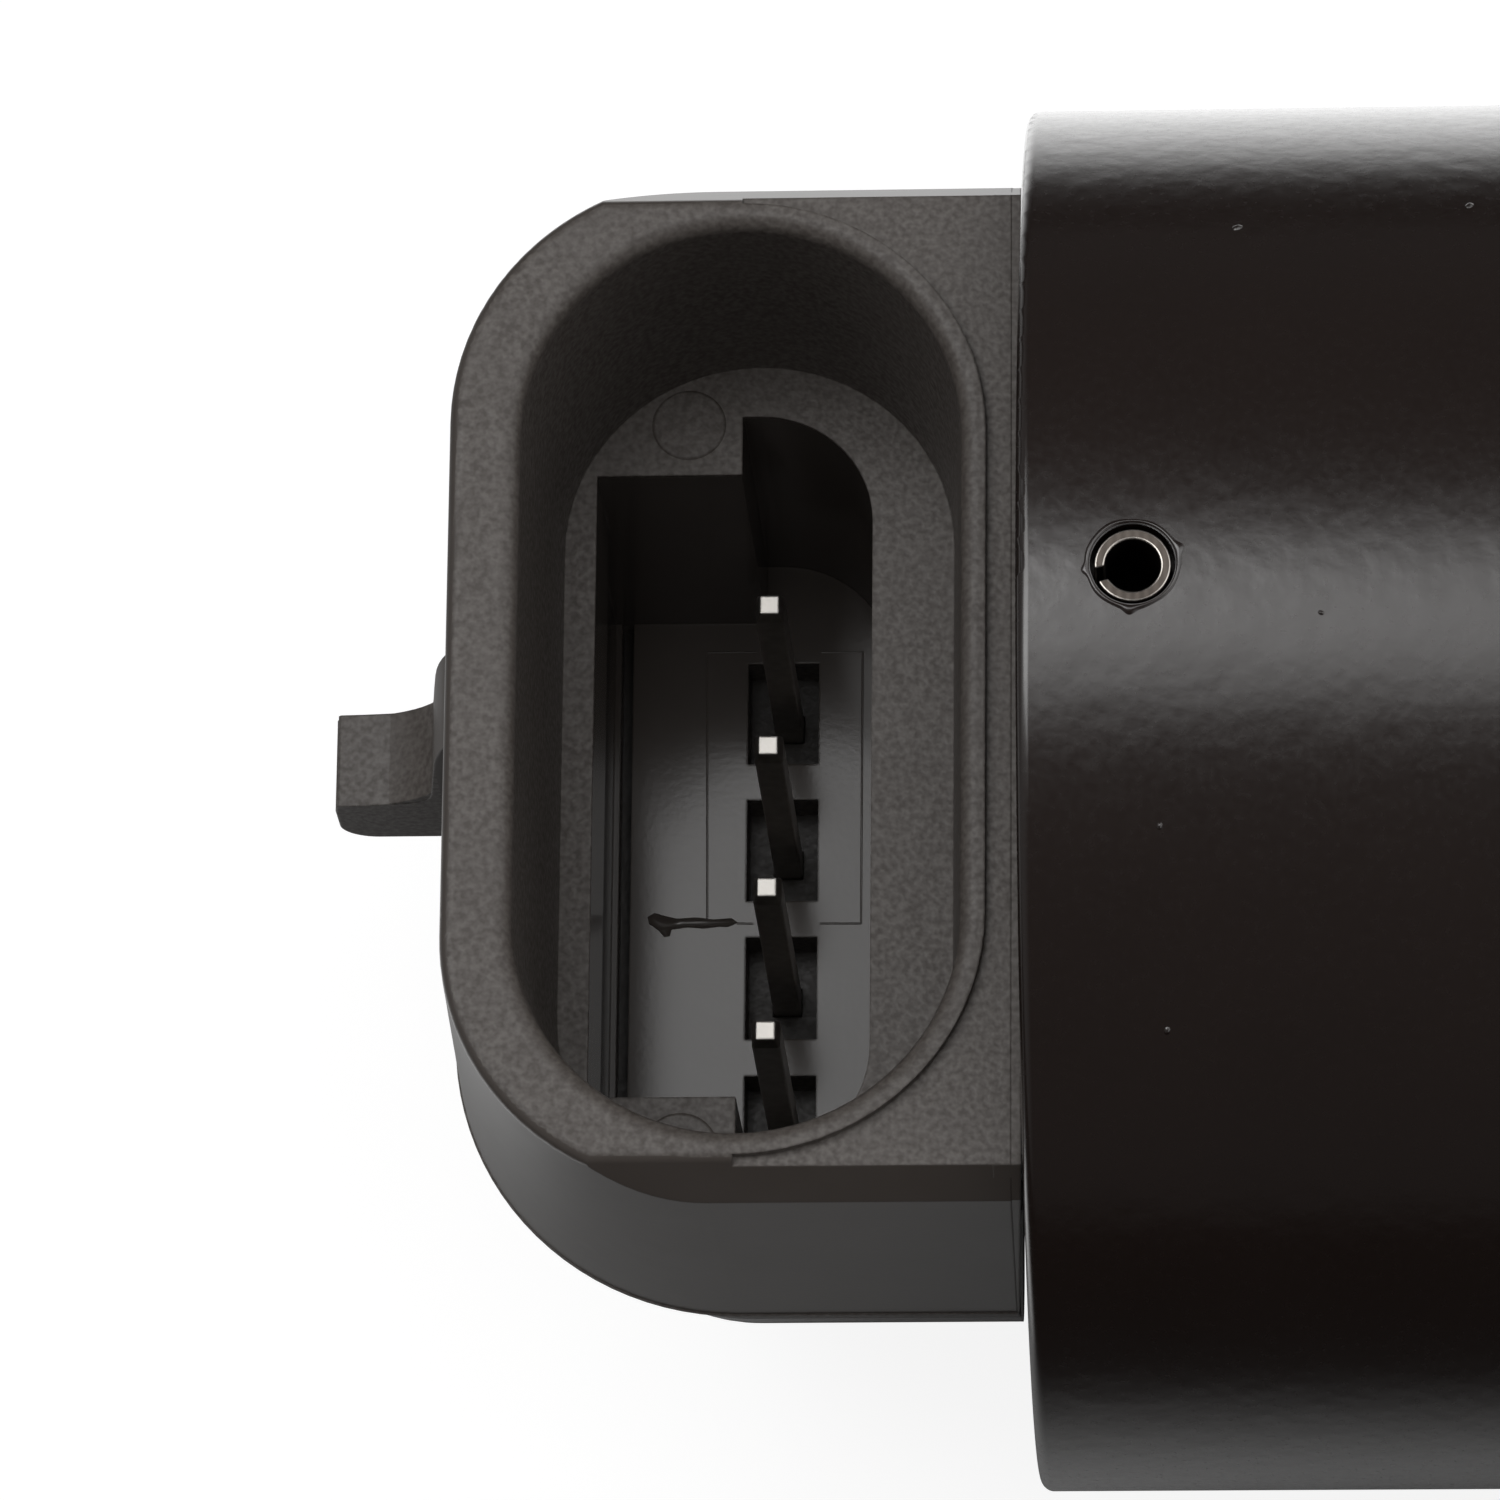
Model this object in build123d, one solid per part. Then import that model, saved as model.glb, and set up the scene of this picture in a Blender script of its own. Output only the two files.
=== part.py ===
from build123d import *
import math
import os

# Idle air control valve: a stepper motor in a drawn steel can, with a moulded four-pin connector at
# the rear and a bolted flange at the front, which drives a pintle in and out by a lead screw.
# Millimetres. X runs along the valve's axis towards the pintle, and the connector's socket opens to +Z.
# The origin is on the axis, in the plane of the flange's mounting face.

# Clearances
running_gap = 0.03
seat_gap = 0.02
face_gap = 0.2
air_gap = 0.25

# Length by which cutting shapes run past what they cut
cut_margin = 1.0

# Drawn can
can_outer_radius = 16.0
can_wall = 1.0
can_length = 38.0
can_edge_radius = 0.3

# Mounting flange with its rear boss and its pilot
flange_thickness = 4.0
flange_half_height = 17.8
flange_flat_half = 9.0
flange_corner_radius = 5.0
flange_edge_radius = 0.6
bolt_spacing = 51.0
bolt_hole_radius = 2.75
ear_radius = 7.5
boss_length = 3.0
pilot_radius = 14.0
pilot_length = 9.0
pilot_chamfer = 0.6
pilot_relief_width = 1.0
pilot_relief_depth = 0.4
spring_recess_radius = 9.6
spring_recess_depth = 4.0
oring_section_radius = 1.1
oring_groove_depth = 1.8
oring_groove_start = 0.8
oring_side_gap = 0.1

# Slotted spring pin that locks the connector in the can
pin_from_can_end = 2.55
spring_pin_radius = 0.84
spring_pin_wall = 0.24
spring_pin_length = 6.0
spring_pin_slot = 0.3
spring_pin_slot_angle = 195.0
spring_pin_recess = 0.12
pin_hole_gap = 0.09

# Connector plug inside the can
plug_length = 9.0
plug_seal_start = 4.6
seal_section_radius = 0.9
seal_squeeze = 0.12
terminal_recess_depth = 2.6
bush_seat_wall = 2.2
seal_seat_wall = 0.7

# Connector shroud, measured at its rim, and what it grows to at the parting line below
rim_z = 9.33
parting_z = -0.6
back_z = -11.75
socket_offset = 6.42
shroud_half_width = 6.57
shroud_flat_half = 11.33
arc_centre_y = 5.72
body_corner_radius = 5.9
bevel_width = 0.7
bevel_slope = 59.0
rim_edge_radius = 0.3
parting_growth = 0.12
parting_rear_growth = 0.46
parting_corner_radius = 6.6
parting_step = 0.05
back_draft = 14.0
back_edge_radius = 2.6
lip_wall = 0.55
lip_height = 0.25
neck_radius = 8.2
neck_foot_half = 6.6
neck_foot_cover = 0.45
neck_gap = 0.27
neck_gap_growth = 0.38

# Socket
mouth_half_width = 5.0
mouth_edge_radius = 0.4
ledge_depth = 7.75
ledge_half_width = 4.55
cavity_rear = 3.82
cavity_front = 2.64
cavity_half_length = 9.05
key_half_length = 7.6
key_front = 0.42
floor_depth = 18.03
wall_recess_depth = 0.3
wall_recess_height = 6.5
floor_groove_inset = 0.14
floor_groove_width = 0.28
floor_groove_depth = 0.6
well_width = 1.72
well_length = 2.58
well_depth = 1.2
well_offset = -0.1

# Terminals
terminal_count = 4
terminal_pitch = 3.5
terminal_width = 0.66
terminal_offset = 0.1
terminal_tip_depth = 10.2
terminal_taper_length = 0.35
terminal_taper = 0.1
terminal_leg_cover = 1.0
terminal_tail = 8.3

# Lock tab on the rear wall of the shroud
tab_half_width = 1.1
tab_reach = 3.05
tab_top_depth = 6.3
tab_ramp_run = 2.0
tab_ramp_lift = 0.86
tab_ramp_rise = 3.8
tab_thickness = 1.9
tab_round = 0.85

# Stator
cup_wall = 0.8
claw_count = 6
claw_wall = 0.7
claw_base_half = 1.3
claw_tip_half = 0.5
claw_tip_gap = 1.4
bobbin_wall = 0.7
winding_margin = 0.7

# Rotor
magnet_radius = 7.3
magnet_end_gap = 1.3
hub_radius = 5.0
hub_collar_radius = 6.2
hub_collar_length = 1.2
rear_journal_radius = 3.0
rear_journal_length = 2.6
thread_length = 8.0
tail_bore_radius = 3.2
tail_bore_end_wall = 1.5

# Front ball bearing
bearing_bore_radius = 4.0
bearing_outer_radius = 8.0
bearing_width = 4.0
bearing_seat_depth = 4.0
race_wall = 1.1
ball_radius = 1.1
ball_count = 8
ball_gap = 0.03
cage_half_width = 1.25
cage_wall = 0.9
cage_pocket_gap = 0.05

# Rear bush and its spring washer
bush_radius = 5.0
bush_length = 3.0
washer_inner_gap = 0.15
washer_outer_radius = 4.9
washer_thickness = 0.2
washer_dish = 0.3
bush_to_shoulder = 0.65

# Shaft guide, lead screw, pintle and spring
guide_radius = 6.0
guide_neck_radius = 4.6
guide_reach = 2.0
screw_radius = 2.5
screw_flat = 2.0
screw_tail = 3.0
screw_flat_start = 4.3
pintle_shoulder = 19.2
pintle_collar_radius = 9.0
pintle_collar_length = 1.8
pintle_body_radius = 6.6
pintle_body_length = 4.0
pintle_cone_length = 12.0
pintle_tip_radius = 1.6
pintle_tip_round = 0.8
pintle_sleeve_radius = 4.2
pintle_sleeve_length = 3.0
pintle_grip = 8.0
spring_mean_radius = 7.4
spring_wire_radius = 0.5
spring_turns = 6.5
spring_end_gap = 0.05

# Places that follow from the sizes above
can_front = -flange_thickness
can_rear = can_front - can_length
can_inner_radius = can_outer_radius - can_wall
boss_rear = can_front - boss_length
plug_front = can_rear + plug_length
inside_radius = can_inner_radius - seat_gap
bearing_rear = boss_rear
bearing_front = boss_rear + bearing_width
bearing_middle = (bearing_rear + bearing_front) / 2
ball_ring_radius = (bearing_bore_radius + bearing_outer_radius) / 2
seat_end = boss_rear + bearing_seat_depth
stack_gap = face_gap
stack_length = (boss_rear - plug_front - 3 * stack_gap) / 2
socket_x = can_rear - socket_offset
floor_z = rim_z - floor_depth
ledge_z = rim_z - ledge_depth
terminal_x = socket_x + terminal_offset
terminal_tip_z = rim_z - terminal_tip_depth
seal_groove_radius = can_inner_radius - 2 * seal_section_radius + seal_squeeze
terminal_row_half = (terminal_pitch * (terminal_count - 1) + terminal_width) / 2
terminal_leg_reach = seal_groove_radius - terminal_leg_cover
terminal_leg_z = terminal_width / 2 - math.sqrt(terminal_leg_reach**2 - terminal_row_half**2)
pin_x = can_rear + pin_from_can_end
bush_front = plug_front
journal_shoulder = bush_front + bush_to_shoulder
hub_front = seat_end
collar_front = bearing_rear - face_gap
collar_rear = collar_front - hub_collar_length
claw_inner_radius = magnet_radius + air_gap
claw_outer_radius = claw_inner_radius + claw_wall
bobbin_inner_radius = claw_outer_radius + seat_gap
bobbin_outer_radius = inside_radius - cup_wall - seat_gap
spring_seat = pilot_length - spring_recess_depth
pintle_rear = spring_seat + pintle_shoulder


def turned(*profile):
    """Solid of revolution about the valve's axis, from (x, radius) corners."""
    return revolve(Polygon(*profile, align=None), Axis.X)


def tube(x_low, x_high, outer, inner):
    """Ring or, with no inner radius, disc between two planes across the axis."""
    return turned((x_low, inner), (x_high, inner), (x_high, outer), (x_low, outer))


def torus_at(x, ring_radius, section_radius):
    """Ring of round section about the valve's axis."""
    return revolve(Pos(x, ring_radius) * Circle(section_radius), Axis.X)


def around_axis(shape, count, start=0.0):
    """Copies of a shape, evenly spaced about the valve's axis."""
    return [Rot(start + 360 / count * i, 0, 0) * shape for i in range(count)]


def upright(x, z_low, z_high, radius):
    """Round bar that stands along Z on the plane of symmetry."""
    return Pos(x, 0, z_low) * extrude(Circle(radius), z_high - z_low)


def obround(half_width, z):
    """Face of the socket's outline, with round ends, in the plane at height z."""
    slot = SlotCenterToCenter(2 * arc_centre_y, 2 * half_width, rotation=90)
    return Plane.XY.offset(z) * (Pos(socket_x, 0) * slot)


def block(x_low, x_high, y_half, z_low, z_high, y_middle=0.0):
    """Box given by its X and Z limits and its half width in Y."""
    box = Box(x_high - x_low, 2 * y_half, z_high - z_low)
    return Pos((x_low + x_high) / 2, y_middle, (z_low + z_high) / 2) * box


def terminal_places():
    """Y of each terminal, from +Y to -Y."""
    first = terminal_pitch * (terminal_count - 1) / 2
    return [first - terminal_pitch * i for i in range(terminal_count)]


def motor_can():
    """Open drawn tube with a rounded rear edge and the spring pin's hole."""
    shell = tube(can_rear, can_front, can_outer_radius, can_inner_radius)
    rear_edges = shell.edges().filter_by(GeomType.CIRCLE).group_by(Axis.X)[0]
    shell = fillet(rear_edges.sort_by(SortBy.RADIUS)[-1:], can_edge_radius)
    hole = upright(pin_x, 0, 2 * can_outer_radius, spring_pin_radius + pin_hole_gap)
    return shell - hole


def flange_outline():
    """Flat-sided oval with an ear at each bolt hole."""
    circles = []
    for side in (-1, 1):
        circles.append(Pos(side * bolt_spacing / 2, 0) * Circle(ear_radius))
        for end in (-1, 1):
            corner_y = flange_half_height - flange_corner_radius
            circles.append(Pos(side * flange_flat_half, end * corner_y) * Circle(flange_corner_radius))
    return make_hull([circle.edge() for circle in circles])


def mounting_flange():
    """Cast plate with bolt holes, a boss that fills the can's mouth and a pilot for the throttle body."""
    plate = extrude(Plane.YZ.offset(-flange_thickness) * flange_outline(), flange_thickness)
    rear_edges = plate.edges().group_by(Axis.X)[0]
    plate = fillet(rear_edges, flange_edge_radius)
    groove_end = oring_groove_start + 2 * (oring_section_radius + oring_side_gap)
    groove_radius = pilot_radius - oring_groove_depth
    pilot = turned(
        (boss_rear, 0),
        (boss_rear, inside_radius),
        (can_front, inside_radius),
        (-flange_thickness / 2, pilot_radius),
        (oring_groove_start, pilot_radius),
        (oring_groove_start, groove_radius),
        (groove_end, groove_radius),
        (groove_end, pilot_radius),
        (pilot_length - pilot_chamfer, pilot_radius),
        (pilot_length, pilot_radius - pilot_chamfer),
        (pilot_length, 0),
    )
    body = plate + pilot
    relief_radius = pilot_radius + pilot_relief_width
    body -= tube(-pilot_relief_depth, pilot_relief_depth, relief_radius, pilot_radius)
    body -= tube(boss_rear - cut_margin, seat_end, bearing_outer_radius + seat_gap, 0)
    body -= tube(boss_rear, pilot_length + cut_margin, guide_radius + seat_gap, 0)
    body -= tube(spring_seat, pilot_length + cut_margin, spring_recess_radius, 0)
    for side in (-1, 1):
        hole = Pos(can_front - cut_margin, side * bolt_spacing / 2, 0) * Rot(0, 90, 0)
        body -= hole * extrude(Circle(bolt_hole_radius), flange_thickness + 2 * cut_margin)
    return body


def flange_oring():
    """O-ring in the pilot's groove, standing proud of the pilot."""
    middle = oring_groove_start + oring_side_gap + oring_section_radius
    ring_radius = pilot_radius - oring_groove_depth + seat_gap + oring_section_radius
    return torus_at(middle, ring_radius, oring_section_radius)


def shroud_outline(z, rear, flat, radius, arc_y):
    """Face across the socket: flat sides, and rear corners of one radius centred at arc_y."""
    front = can_rear + cut_margin
    rise = flat - arc_y
    run = math.sqrt(max(radius**2 - rise**2, 0))
    middle = (math.pi + math.atan2(rise, -run)) / 2
    centre_x = rear + radius
    corner_x = centre_x - run
    arc_x = centre_x + radius * math.cos(middle)
    arc_rise = arc_y + radius * math.sin(middle)
    edges = [
        Line((rear, -arc_y), (rear, arc_y)),
        ThreePointArc((rear, arc_y), (arc_x, arc_rise), (corner_x, flat)),
        Line((corner_x, flat), (front, flat)),
        Line((front, flat), (front, -flat)),
        Line((front, -flat), (corner_x, -flat)),
        ThreePointArc((corner_x, -flat), (arc_x, -arc_rise), (rear, -arc_y)),
    ]
    return Plane.XY.offset(z) * make_face(edges)


def bevel_cut():
    """Wedges that take the top edge off the two long sides, outwards from the rim's flats."""
    reach = bevel_width + cut_margin
    outer = shroud_flat_half + reach
    low = rim_z - reach * math.tan(math.radians(bevel_slope))
    top = rim_z + cut_margin
    corners = [(shroud_flat_half, top), (shroud_flat_half, rim_z), (outer, low), (outer, top)]
    side = Polygon(*corners, align=None)
    wedge = extrude(Plane.YZ.offset(can_rear) * side, 4 * shroud_half_width, both=True)
    return wedge + mirror(wedge, about=Plane.XZ)


def shroud_body():
    """Wall from the rim down to the parting line, and a drafted, rounded back below it."""
    rim_rear = socket_x - shroud_half_width
    rim_flat = shroud_flat_half + bevel_width
    rim = shroud_outline(rim_z, rim_rear, rim_flat, body_corner_radius, rim_flat - body_corner_radius)
    rear = rim_rear - parting_rear_growth
    flat = rim_flat + parting_growth
    corner_y = flat - parting_corner_radius
    parting = shroud_outline(parting_z, rear, flat, parting_corner_radius, corner_y)
    upper = loft([parting, rim], ruled=True) - bevel_cut()
    upper = fillet(upper.edges().group_by(Axis.Z)[-1], rim_edge_radius)
    slopes = []
    for z in (back_z, parting_z):
        inset = parting_step + (parting_z - z) * math.tan(math.radians(back_draft))
        slopes.append(shroud_outline(z, rear + inset, flat - inset, parting_corner_radius - inset, corner_y))
    lower = loft(slopes, ruled=True)
    lower = fillet(lower.edges().group_by(Axis.Z)[0], back_edge_radius)
    reach = block(rear - cut_margin, can_rear, 2 * flat, back_z - cut_margin, rim_z + cut_margin)
    return (upper + lower) & reach


def lip_cut():
    """Region round the socket's front half that lies a little below the raised lip."""
    front = can_rear + shroud_half_width
    cover = Pos((socket_x + front) / 2, 0) * Rectangle(front - socket_x, 4 * shroud_flat_half)
    low = rim_z - lip_height
    region = Plane.XY.offset(low) * cover - obround(mouth_half_width + lip_wall, low)
    return extrude(region, 2 * lip_height)


def neck_cut():
    """Gap between the can and the shroud's drafted front end, round the neck that joins shroud and plug."""
    top = rim_z + cut_margin
    low = back_z - cut_margin
    side = Polygon(
        (can_rear, top),
        (can_rear - neck_gap, top),
        (can_rear - neck_gap - neck_gap_growth, low),
        (can_rear, low),
        align=None,
    )
    slab = extrude(Plane.XZ * side, 2 * shroud_flat_half, both=True)
    neck = tube(can_rear - cut_margin, can_rear + cut_margin, neck_radius, 0)
    foot_low = back_z + neck_foot_cover
    foot = block(can_rear - cut_margin, can_rear + cut_margin, neck_foot_half, foot_low, 0)
    return slab - neck - foot


def lock_tab():
    """Catch for the mating plug's latch, whose top curves up the shroud's wall as a ramp."""
    wall_x = socket_x - shroud_half_width
    root_x = wall_x + cut_margin
    end_x = wall_x - tab_reach
    top = rim_z - tab_top_depth
    low = top - tab_thickness
    ramp_x = end_x + tab_ramp_run
    ramp_top = top + tab_ramp_rise
    ramp = [(end_x, top), (ramp_x, top + tab_ramp_lift), (wall_x, ramp_top)]
    edges = [
        Spline(*ramp, tangents=((1, 0.3), (0.08, 1))),
        Line((wall_x, ramp_top), (root_x, ramp_top)),
        Line((root_x, ramp_top), (root_x, low)),
        Line((root_x, low), (end_x, low)),
        Line((end_x, low), (end_x, top)),
    ]
    side = make_face(edges)
    side = fillet(side.vertices().sort_by(Axis.Y)[:2].sort_by(Axis.X)[:1], tab_round)
    return extrude(Plane.XZ * side, tab_half_width, both=True)


def socket_cut():
    """Tapered mouth down to a ledge, then the keyed cavity down to the floor with a well at each pin."""
    mouth_depth = rim_z - ledge_z
    flare = math.degrees(math.atan((mouth_half_width - ledge_half_width) / mouth_depth))
    mouth = extrude(obround(ledge_half_width, ledge_z), mouth_depth, taper=-flare)
    rear = socket_x - cavity_rear
    front = socket_x + cavity_front
    key_x = socket_x - key_front
    wide = Pos((rear + socket_x) / 2, 0) * Rectangle(socket_x - rear, 2 * key_half_length)
    narrow = Pos((key_x + front) / 2, 0) * Rectangle(front - key_x, 2 * cavity_half_length)
    narrow = fillet(narrow.vertices().group_by(Axis.X)[-1], cavity_front)
    cavity = extrude(Plane.XY.offset(floor_z) * (wide + narrow), ledge_z - floor_z)
    mouth += extrude(obround(mouth_half_width + lip_wall, rim_z), cut_margin)
    top_arcs = mouth.edges().filter_by(GeomType.CIRCLE).filter_by_position(Axis.Z, rim_z, rim_z)
    mouth = fillet(top_arcs.sort_by(SortBy.RADIUS)[:2], mouth_edge_radius)
    cut = mouth + cavity
    recess_rear = rear - wall_recess_depth
    cut += block(recess_rear, rear, key_half_length, floor_z, floor_z + wall_recess_height)
    groove_front = rear + floor_groove_inset
    groove_rear = groove_front - floor_groove_width
    cut += block(groove_rear, groove_front, key_half_length, floor_z - floor_groove_depth, floor_z)
    for y in terminal_places():
        well_rear = terminal_x + well_offset - well_width / 2
        cut += block(well_rear, well_rear + well_width, well_length / 2, floor_z - well_depth, floor_z, y)
    return cut


def connector_housing():
    """One moulding: the plug in the can, the shroud round the socket and the lock tab."""
    plug = tube(can_rear, plug_front, inside_radius, 0)
    groove_x = can_rear + plug_seal_start
    groove_width = 2 * (seal_section_radius + oring_side_gap)
    plug -= tube(groove_x, groove_x + groove_width, can_outer_radius, seal_groove_radius)
    recess_x = plug_front - terminal_recess_depth
    recess_outer = seal_groove_radius - seal_seat_wall
    plug -= tube(recess_x, plug_front + cut_margin, recess_outer, bush_radius + bush_seat_wall)
    plug -= tube(bush_front - bush_length, plug_front + cut_margin, bush_radius + seat_gap, 0)
    pin_low = can_outer_radius - spring_pin_recess - spring_pin_length
    plug -= upright(pin_x, pin_low, 2 * can_outer_radius, spring_pin_radius + seat_gap)
    shroud = shroud_body() - lip_cut() - neck_cut() - socket_cut()
    body = plug + shroud + lock_tab()
    slot = terminal_width / 2 + seat_gap
    for y in terminal_places():
        leg_low = terminal_leg_z - slot
        leg_high = terminal_leg_z + slot
        body -= block(terminal_x - slot, plug_front, slot, leg_low, leg_high, y)
        body -= block(terminal_x - slot, terminal_x + slot, slot, leg_low, floor_z, y)
    return body


def terminal(y):
    """Square pin bent at the floor, with a tapered tip in the socket and a tail inside the can."""
    half = terminal_width / 2
    taper_z = terminal_tip_z - terminal_taper_length
    pin = block(terminal_x - half, terminal_x + half, half, terminal_leg_z - half, taper_z, y)
    slope = math.degrees(math.atan(terminal_taper / terminal_taper_length))
    end = Pos(terminal_x, y, taper_z) * Rectangle(terminal_width, terminal_width)
    pin += extrude(end, terminal_taper_length, taper=slope)
    leg = block(terminal_x, can_rear + terminal_tail, half, terminal_leg_z - half, terminal_leg_z + half, y)
    return pin + leg


def spring_pin():
    """Slotted tube, a little below the can's surface."""
    ring = Circle(spring_pin_radius) - Circle(spring_pin_radius - spring_pin_wall)
    slot = Rot(0, 0, spring_pin_slot_angle) * Pos(spring_pin_radius, 0)
    ring -= slot * Rectangle(2 * spring_pin_radius, spring_pin_slot)
    low = can_outer_radius - spring_pin_recess - spring_pin_length
    return Pos(pin_x, 0, low) * extrude(ring, spring_pin_length)


def rear_seal():
    """O-ring between the plug and the can."""
    middle = can_rear + plug_seal_start + seal_section_radius + oring_side_gap
    section = seal_section_radius - seal_squeeze / 2 - seat_gap
    return torus_at(middle, can_inner_radius - seat_gap - section, section)


def claws(x_base, x_tip, start):
    """Ring of tapered pole fingers that stand from one plane towards another."""
    ring = tube(min(x_base, x_tip), max(x_base, x_tip), claw_outer_radius, claw_inner_radius)
    finger = Polygon(
        (x_base, -claw_base_half),
        (x_tip, -claw_tip_half),
        (x_tip, claw_tip_half),
        (x_base, claw_base_half),
        align=None,
    )
    finger = extrude(finger, 2 * claw_outer_radius) & ring
    return around_axis(finger, claw_count, start)


def stator_cup(disc_x, inward, start):
    """Drawn cup: an end disc with pole fingers at its bore and a wall at its rim."""
    inner_face = disc_x + inward * cup_wall
    wall_end = disc_x + inward * (stack_length - cup_wall - seat_gap)
    cup = tube(min(disc_x, inner_face), max(disc_x, inner_face), inside_radius, claw_inner_radius)
    wall = (min(disc_x, wall_end), max(disc_x, wall_end))
    cup += tube(wall[0], wall[1], inside_radius, inside_radius - cup_wall)
    tip = disc_x + inward * (stack_length - cup_wall - claw_tip_gap)
    for finger in claws(inner_face, tip, start):
        cup += finger
    return cup


def stator_plate(disc_x, inward, start):
    """Flat pole plate that closes a cup, with fingers between those of the cup."""
    inner_face = disc_x + inward * cup_wall
    plate = tube(min(disc_x, inner_face), max(disc_x, inner_face), inside_radius, claw_inner_radius)
    tip = disc_x + inward * (stack_length - cup_wall - claw_tip_gap)
    for finger in claws(inner_face, tip, start):
        plate += finger
    return plate


def bobbin(disc_x, inward):
    """Moulded spool between a cup and its plate."""
    step = cup_wall + seat_gap
    ends = sorted((disc_x + inward * step, disc_x + inward * (stack_length - step)))
    spool = tube(ends[0], ends[1], bobbin_outer_radius, bobbin_inner_radius)
    tube_radius = bobbin_inner_radius + bobbin_wall
    return spool - tube(ends[0] + bobbin_wall, ends[1] - bobbin_wall, can_outer_radius, tube_radius)


def winding(disc_x, inward):
    """Copper coil, as one ring of wound wire with rounded edges."""
    step = cup_wall + bobbin_wall + 2 * seat_gap
    ends = sorted((disc_x + inward * step, disc_x + inward * (stack_length - step)))
    inner = bobbin_inner_radius + bobbin_wall + seat_gap
    coil = tube(ends[0], ends[1], bobbin_outer_radius - winding_margin, inner)
    outer = coil.edges().filter_by(GeomType.CIRCLE).sort_by(SortBy.RADIUS)[-2:]
    return fillet(outer, winding_margin / 2)


def rotor_hub():
    """Moulded hub with a journal at each end, a seat for the magnet, and a bore that drives the screw."""
    rear = journal_shoulder - rear_journal_length - bush_to_shoulder
    thread_front = collar_front
    thread_rear = thread_front - thread_length
    bore = screw_radius + running_gap
    bore_end = journal_shoulder + tail_bore_end_wall
    return turned(
        (rear, 0),
        (rear, rear_journal_radius),
        (journal_shoulder, rear_journal_radius),
        (journal_shoulder, hub_radius),
        (collar_rear, hub_radius),
        (collar_rear, hub_collar_radius),
        (collar_front, hub_collar_radius),
        (collar_front, hub_radius),
        (bearing_rear, hub_radius),
        (bearing_rear, bearing_bore_radius - seat_gap),
        (hub_front, bearing_bore_radius - seat_gap),
        (hub_front, bore),
        (thread_rear, bore),
        (thread_rear, tail_bore_radius),
        (bore_end, tail_bore_radius),
        (bore_end, 0),
    )


def rotor_magnet():
    """Ring magnet on the hub."""
    return tube(journal_shoulder + magnet_end_gap, collar_rear, magnet_radius, hub_radius + seat_gap)


def bearing_groove():
    """Raceway that both races share."""
    return torus_at(bearing_middle, ball_ring_radius, ball_radius + ball_gap)


def bearing_outer_race():
    """Outer race, pressed into the flange's seat."""
    inner = bearing_outer_radius - race_wall
    race = tube(bearing_rear, bearing_front - seat_gap, bearing_outer_radius, inner)
    return race - bearing_groove()


def bearing_inner_race():
    """Inner race on the hub's front journal."""
    outer = bearing_bore_radius + race_wall
    race = tube(bearing_rear, bearing_front - seat_gap, outer, bearing_bore_radius)
    return race - bearing_groove()


def bearing_balls():
    """Set of balls, evenly spaced."""
    ball = Pos(bearing_middle, ball_ring_radius, 0) * Sphere(ball_radius)
    return Compound(children=around_axis(ball, ball_count))


def ball_cage():
    """Ring that spaces the balls, with a round pocket for each."""
    outer = ball_ring_radius + cage_wall / 2
    cage = tube(bearing_middle - cage_half_width, bearing_middle + cage_half_width, outer, outer - cage_wall)
    pocket = Pos(bearing_middle, ball_ring_radius, 0) * Sphere(ball_radius + cage_pocket_gap)
    for cut in around_axis(pocket, ball_count):
        cage -= cut
    return cage


def rear_bush():
    """Plain bush in the connector plug for the hub's rear journal."""
    return tube(bush_front - bush_length, bush_front, bush_radius, rear_journal_radius + running_gap)


def spring_washer():
    """Dished washer that takes up end play between the rear bush and the hub."""
    low = bush_front + seat_gap
    inner = rear_journal_radius + washer_inner_gap
    return turned(
        (low + washer_dish, inner),
        (low + washer_dish + washer_thickness, inner),
        (low + washer_thickness, washer_outer_radius),
        (low, washer_outer_radius),
    )


def flatted_bar(x_low, x_high, radius, flat):
    """Round bar along the axis with two flats."""
    return tube(x_low, x_high, radius, 0) & block(x_low, x_high, 2 * radius, -flat, flat)


def shaft_guide():
    """Bush in the pilot whose flats keep the lead screw from turning."""
    low = seat_end + face_gap
    front = pilot_length + guide_reach
    guide = turned(
        (low, 0),
        (low, guide_radius),
        (spring_seat, guide_radius),
        (spring_seat, guide_neck_radius),
        (front, guide_neck_radius),
        (front, 0),
    )
    return guide - flatted_bar(low, front, screw_radius + running_gap, screw_flat + running_gap)


def lead_screw():
    """Screw with a round threaded tail in the hub and a flatted shank through the guide."""
    tail = collar_front - thread_length - screw_tail
    flat_start = collar_front + screw_flat_start
    front = pintle_rear - pintle_sleeve_length + pintle_grip
    shank = flatted_bar(flat_start, front, screw_radius, screw_flat)
    return tube(tail, flat_start, screw_radius, 0) + shank


def pintle():
    """Conical valve with a collar for the spring and a sleeve on the screw's end."""
    sleeve_rear = pintle_rear - pintle_sleeve_length
    body_front = pintle_rear + pintle_collar_length + pintle_body_length
    tip = body_front + pintle_cone_length
    body = turned(
        (sleeve_rear, 0),
        (sleeve_rear, pintle_sleeve_radius),
        (pintle_rear, pintle_sleeve_radius),
        (pintle_rear, pintle_collar_radius),
        (pintle_rear + pintle_collar_length, pintle_collar_radius),
        (pintle_rear + pintle_collar_length, pintle_body_radius),
        (body_front, pintle_body_radius),
        (tip, pintle_tip_radius),
        (tip, 0),
    )
    tip_edge = body.edges().filter_by(GeomType.CIRCLE).group_by(Axis.X)[-1]
    body = fillet(tip_edge, pintle_tip_round)
    grip_end = sleeve_rear + pintle_grip + seat_gap
    return body - flatted_bar(sleeve_rear, grip_end, screw_radius + seat_gap, screw_flat + seat_gap)


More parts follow.
